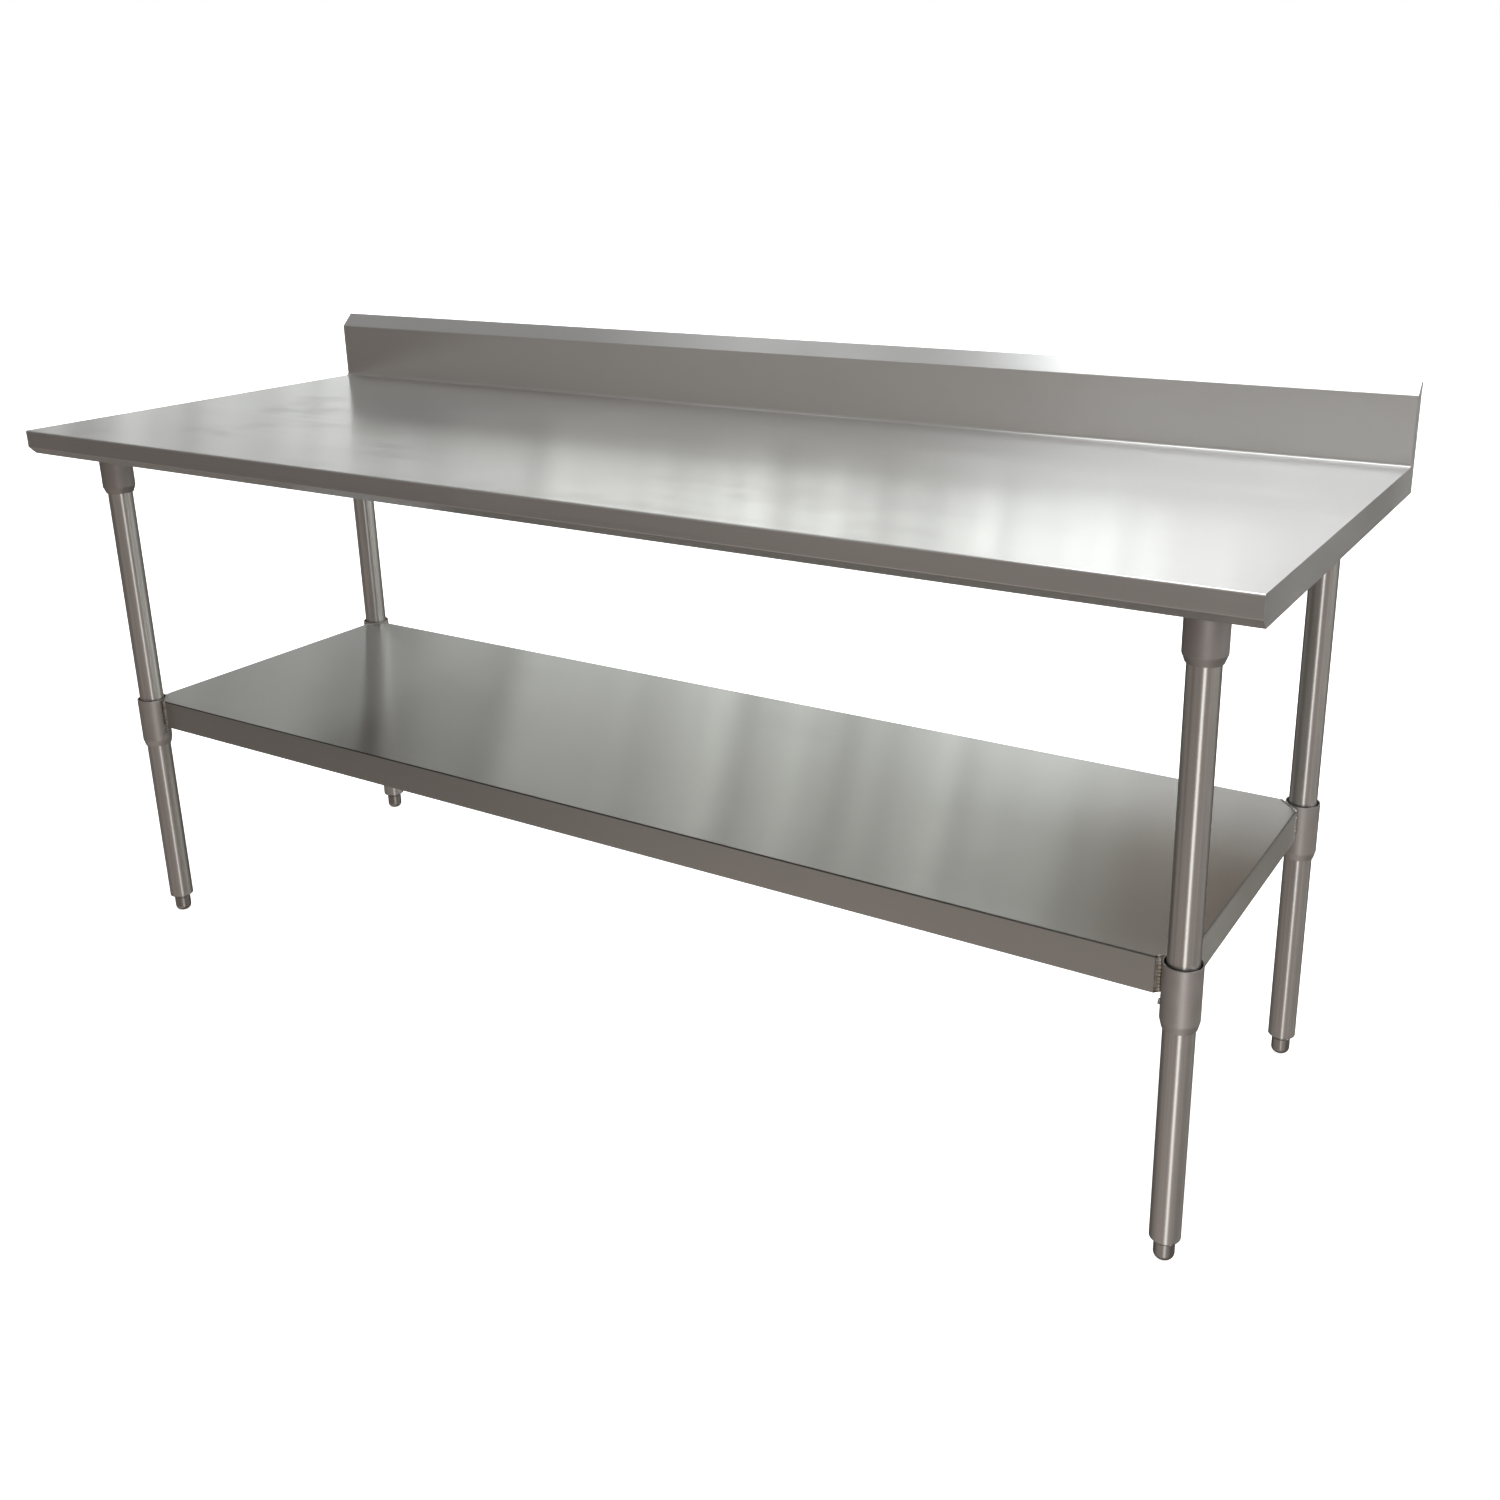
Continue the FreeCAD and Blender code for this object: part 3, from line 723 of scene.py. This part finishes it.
class WORKTABLE_OT_shelf_welds(Operator):
    """Weld the shelf's cut corners to their collars: a lumpy bead up each side and one across the top"""

    bl_idname = "worktable.shelf_welds"
    bl_label = "Shelf Welds"

    def execute(self, context):
        weld = context.scene.table_weld
        steel = context.scene.table_steel
        low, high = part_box("under_shelf")
        posts, seams = [], []
        foot = low.z + weld.post_width * POST_FOOT_SHARE
        head = high.z - weld.post_width * POST_HEAD_SHARE
        for corner in CORNERS:
            centre = centre_of(f"shelf_socket_{corner}")
            radius = radius_of(f"shelf_socket_{corner}")
            inner = inward(corner)
            cut = radius * math.sqrt(2)
            spots = []
            for along, aside in ((X_AXIS, Y_AXIS), (Y_AXIS, X_AXIS)):
                reach = along * math.copysign((radius + cut) / 2, inner.dot(along))
                inset = aside * math.copysign(weld.post_width * POST_INSET_SHARE, inner.dot(aside))
                spots.append(Vector((centre.x, centre.y, 0)) + reach + inset)
            posts += [[(spot.x, spot.y, foot), (spot.x, spot.y, head)] for spot in spots]
            spots.insert(1, Vector((centre.x, centre.y, 0)) + inner * radius)
            seams.append([(spot.x, spot.y, high.z - SEAM_SINK) for spot in spots])
        for name, runs, width, seed in (("shelf_corner_welds", posts, weld.post_width, weld.seed),
                                        ("shelf_seam_welds", seams, weld.bead_width, weld.seed + 2)):
            piece = weld_run(name, runs, weld, width, seed, steel)
            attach(piece, "shelf")
        return {"FINISHED"}


class WORKTABLE_OT_socket_welds(Operator):
    """Weld the top sockets to the cross channels with a ring of bead"""

    bl_idname = "worktable.socket_welds"
    bl_label = "Socket Welds"

    def execute(self, context):
        weld = context.scene.table_weld
        runs = []
        turns = [WHOLE_TURN * step / RING_STEPS for step in range(RING_STEPS + 1)]
        for corner in CORNERS:
            socket = f"top_socket_{corner}"
            centre = centre_of(socket)
            radius = radius_of(socket) + weld.bead_width * RING_OUTSET_SHARE
            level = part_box(socket)[1].z - weld.bead_width * RING_DROP_SHARE
            runs.append([(centre.x + radius * math.cos(turn), centre.y + radius * math.sin(turn), level)
                         for turn in turns])
        piece = weld_run("socket_ring_welds", runs, weld, weld.bead_width, weld.seed + 1,
                         context.scene.table_steel)
        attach(piece, "root")
        return {"FINISHED"}


class WORKTABLE_OT_label(Operator):
    """Give the blank label its film"""

    bl_idname = "worktable.label"
    bl_label = "Blank Label"

    def execute(self, context):
        finish_node("blank_label", label_film())
        return {"FINISHED"}


def soft_band(value, low, high, softness):
    """1 between low and high, fading to 0 over the softness outside them."""
    return value.soft(low - softness, low) * value.soft(high + softness, high)


def add_colours(shader, first, second):
    return shader.node("ShaderNodeVectorMath", {"operation": "ADD"}, (first, second))


def scaled(shader, colour, factor):
    return shader.node("ShaderNodeVectorMath", {"operation": "SCALE"}, {"Vector": colour, "Scale": factor})


def studio_walls(lean, ripple):
    """The walls of light, as (low, high, softness) in degrees round the table, strength and colour. Lean is
    how far a direction leans along the table, and the ripple lies across it."""
    deck_folds = (1.0 - (lean + 0.45).size().soft(0.045, 0.0) * 0.25) * (ripple * 1.2 + 0.4)
    shelf_folds = (1.0 - (lean + 0.66).size().soft(0.02, 0.0) * 0.4) * (ripple * 5.0 - 1.5)
    shelf_folds = (1.0 - (lean + 0.705).size().soft(0.032, 0.008) * 0.9) * shelf_folds
    right = lean.soft(0.4, 0.6) * 0.6
    deck_side = lean.soft(-0.2, -0.34) * 0.7 + 0.3 + right
    shelf_side = lean.soft(-0.28, -0.38) * 0.97 + 0.03 + right
    over = lean.soft(0.1, -0.08) * 0.9 + 0.1 + right
    low_rear = (lean.soft(-0.95, -0.50) * 1.8 + 0.8) * deck_side * deck_folds
    mid_rear = (lean.soft(-0.8, -0.5) * 0.33 + 0.25) * shelf_side * shelf_folds
    warm_corner = lean.soft(-0.35, -0.27) * over * 0.14
    high_rear = (lean.soft(-0.45, -0.32) * 3.1 + 0.7) * over * deck_folds
    overhead = (lean.soft(-0.64, -0.54) * 0.5 + lean.soft(-0.42, -0.32) * 3.0 + 0.35) * over * deck_folds
    high_front = lean.soft(-0.85, -0.45) * 0.13 + 0.18
    low_front = lean.soft(-0.75, -0.45) * 0.26 + 0.1
    return (
        ((1.0, 14.0, 8.0), low_rear, (0.97, 1.0, 0.98)),
        ((24.0, 50.0, 9.0), mid_rear, (0.98, 1.0, 0.96)),
        ((24.0, 50.0, 9.0), warm_corner, (1.0, 0.66, 0.46)),
        ((60.0, 76.0, 10.0), high_rear, (0.95, 1.0, 1.05)),
        ((84.0, 104.0, 8.0), overhead, (0.97, 1.0, 1.02)),
        ((130.0, 186.0, 10.0), high_front, (1.0, 0.94, 0.90)),
        ((210.0, 226.0, 7.0), low_front, (1.0, 0.85, 0.79)),
        ((228.0, 246.0, 8.0), 0.3, (1.0, 0.92, 0.88)),
        ((250.0, 290.0, 10.0), 0.12, (1.0, 0.92, 0.86)),
        ((-100.0, -46.0, 14.0), 0.12, (1.0, 0.92, 0.86)),
        ((-44.0, -28.0, 6.0), lean.soft(0.02, 0.12) * 0.2, (1.0, 0.92, 0.84)),
        ((-18.0, -6.0, 6.0), lean.soft(0.02, 0.1) * lean.soft(0.22, 0.17) * 0.15, (1.0, 1.0, 0.96)),
    )


def studio_world(scene):
    """A dim warm room with soft walls of light round the table, laid out by the angle round its long axis
    (0 the rear, 90 above, 180 the front) and by how far a direction leans along that axis. The camera sees
    plain white."""
    world = bpy.data.worlds.new("studio")
    scene.world = world
    shader = Shader(world)
    lean, rear, up = shader.coordinates("Generated").parts()
    wrapped = up.math("ARCTAN2", rear).math("WRAP", math.radians(270), math.radians(-90))
    around = wrapped * (180 / math.pi)
    ripple = shader.node("ShaderNodeTexNoise", {"noise_dimensions": "1D"}, {
        "W": lean * RIPPLES, "Scale": 1.0, "Detail": 2.0, "Roughness": 0.7})
    total = ROOM_TONE
    for (low, high, softness), strength, colour in studio_walls(lean, ripple):
        light = scaled(shader, colour, soft_band(around, low, high, softness) * strength)
        total = add_colours(shader, total, light)
    seen = shader.node("ShaderNodeLightPath", output="Is Camera Ray")
    room = shader.node("ShaderNodeBackground", inputs={"Color": total, "Strength": 1.0})
    white = shader.node("ShaderNodeBackground", inputs={"Color": WHITE, "Strength": 1.0})
    either = shader.node("ShaderNodeMixShader", inputs={0: seen, 1: room, 2: white})
    shader.node("ShaderNodeOutputWorld", inputs={"Surface": either})


def make_floor(studio):
    """A plain pale floor that the steel doesn't mirror and that blocks no light from below."""
    reach = studio.floor_reach
    mesh = bpy.data.meshes.new("floor")
    mesh.from_pydata([(-reach, -reach, 0), (reach, -reach, 0), (reach, reach, 0), (-reach, reach, 0)],
                     [], [(0, 1, 2, 3)])
    floor = bpy.data.objects.new("floor", mesh)
    bpy.context.scene.collection.objects.link(floor)
    floor.visible_glossy = False
    floor.visible_shadow = False
    material, shader = new_material("floor")
    haze = shader.noise(shader.coordinates(), scale=0.8, detail=3.0)
    shader.surface({
        "Base Color": shader.blend(haze, shade(studio.floor_colour, 0.98), shade(studio.floor_colour, 1.0)),
        "Roughness": 0.8,
        "Emission Color": WHITE,
        "Emission Strength": 0.85,
    })
    floor.data.materials.append(material)


def make_camera(scene, studio):
    """Stand the camera in its place, turned, tilted and leaned."""
    data = bpy.data.cameras.new("camera")
    data.sensor_width = 36.0
    data.lens = studio.lens
    data.shift_x, data.shift_y = studio.shift
    camera = bpy.data.objects.new("camera", data)
    scene.collection.objects.link(camera)
    camera.location = studio.camera_place
    level = Euler((math.pi / 2 - studio.camera_pitch, 0.0, studio.camera_yaw), "XYZ").to_matrix()
    lean = Euler((0.0, 0.0, studio.camera_roll), "XYZ").to_matrix()
    camera.rotation_euler = (level @ lean).to_euler("XYZ")
    scene.camera = camera


def make_softbox(name, place, aim, size, power, mirrored):
    """A soft rectangular light. A mirrored one shows in the steel, and the camera doesn't see it."""
    data = bpy.data.lights.new(name, "AREA")
    data.shape = "RECTANGLE"
    data.size, data.size_y = size
    data.energy = power
    light = bpy.data.objects.new(name, data)
    bpy.context.scene.collection.objects.link(light)
    light.location = place
    light.rotation_euler = (Vector(aim) - Vector(place)).to_track_quat("-Z", "Y").to_euler()
    light.visible_glossy = mirrored
    light.visible_camera = not mirrored


class WORKTABLE_OT_stage(Operator):
    """Set out the camera, the pale floor and the soft studio light"""

    bl_idname = "worktable.stage"
    bl_label = "Studio"

    def execute(self, context):
        scene = context.scene
        studio = scene.table_studio
        scene.view_settings.view_transform = "Standard"
        make_camera(scene, studio)
        make_floor(studio)
        studio_world(scene)
        make_softbox("key_softbox", (0.8, -0.6, 3.6), (0.0, 0.0, 0.5), (3.5, 3.0),
                     studio.key_power, mirrored=False)
        make_softbox("front_strip", (1.68, -1.85, -0.2), (0.0, 0.0, -0.2), (0.5, 3.0),
                     studio.strip_power, mirrored=True)
        return {"FINISHED"}


class WORKTABLE_PT_panel(Panel):
    """Lists the steps of the work table"""

    bl_label = "Work Table"
    bl_idname = "WORKTABLE_PT_panel"
    bl_space_type = "VIEW_3D"
    bl_region_type = "UI"
    bl_category = "Work Table"

    def draw(self, context):
        for operator in STEPS:
            self.layout.operator(operator.bl_idname)
        for name in SETTINGS:
            group = getattr(context.scene, name)
            box = self.layout.box()
            for key in group.__annotations__:
                box.prop(group, key)


STEPS = (
    WORKTABLE_OT_sheet,
    WORKTABLE_OT_legs,
    WORKTABLE_OT_sockets,
    WORKTABLE_OT_feet,
    WORKTABLE_OT_channels,
    WORKTABLE_OT_fasteners,
    WORKTABLE_OT_shelf_welds,
    WORKTABLE_OT_socket_welds,
    WORKTABLE_OT_label,
    WORKTABLE_OT_stage,
)
SETTINGS = {
    "table_steel": SteelSettings,
    "table_weld": WeldSettings,
    "table_thread": ThreadSettings,
    "table_studio": StudioSettings,
}


def register():
    for kind in (*SETTINGS.values(), *STEPS, WORKTABLE_PT_panel):
        bpy.utils.register_class(kind)
    for name, kind in SETTINGS.items():
        setattr(bpy.types.Scene, name, PointerProperty(type=kind))


def unregister():
    for name in SETTINGS:
        delattr(bpy.types.Scene, name)
    for kind in (WORKTABLE_PT_panel, *reversed(STEPS), *SETTINGS.values()):
        bpy.utils.unregister_class(kind)


def main():
    register()
    for operator in STEPS:
        group, name = operator.bl_idname.split(".")
        getattr(getattr(bpy.ops, group), name)()


if __name__ == "__main__":
    main()
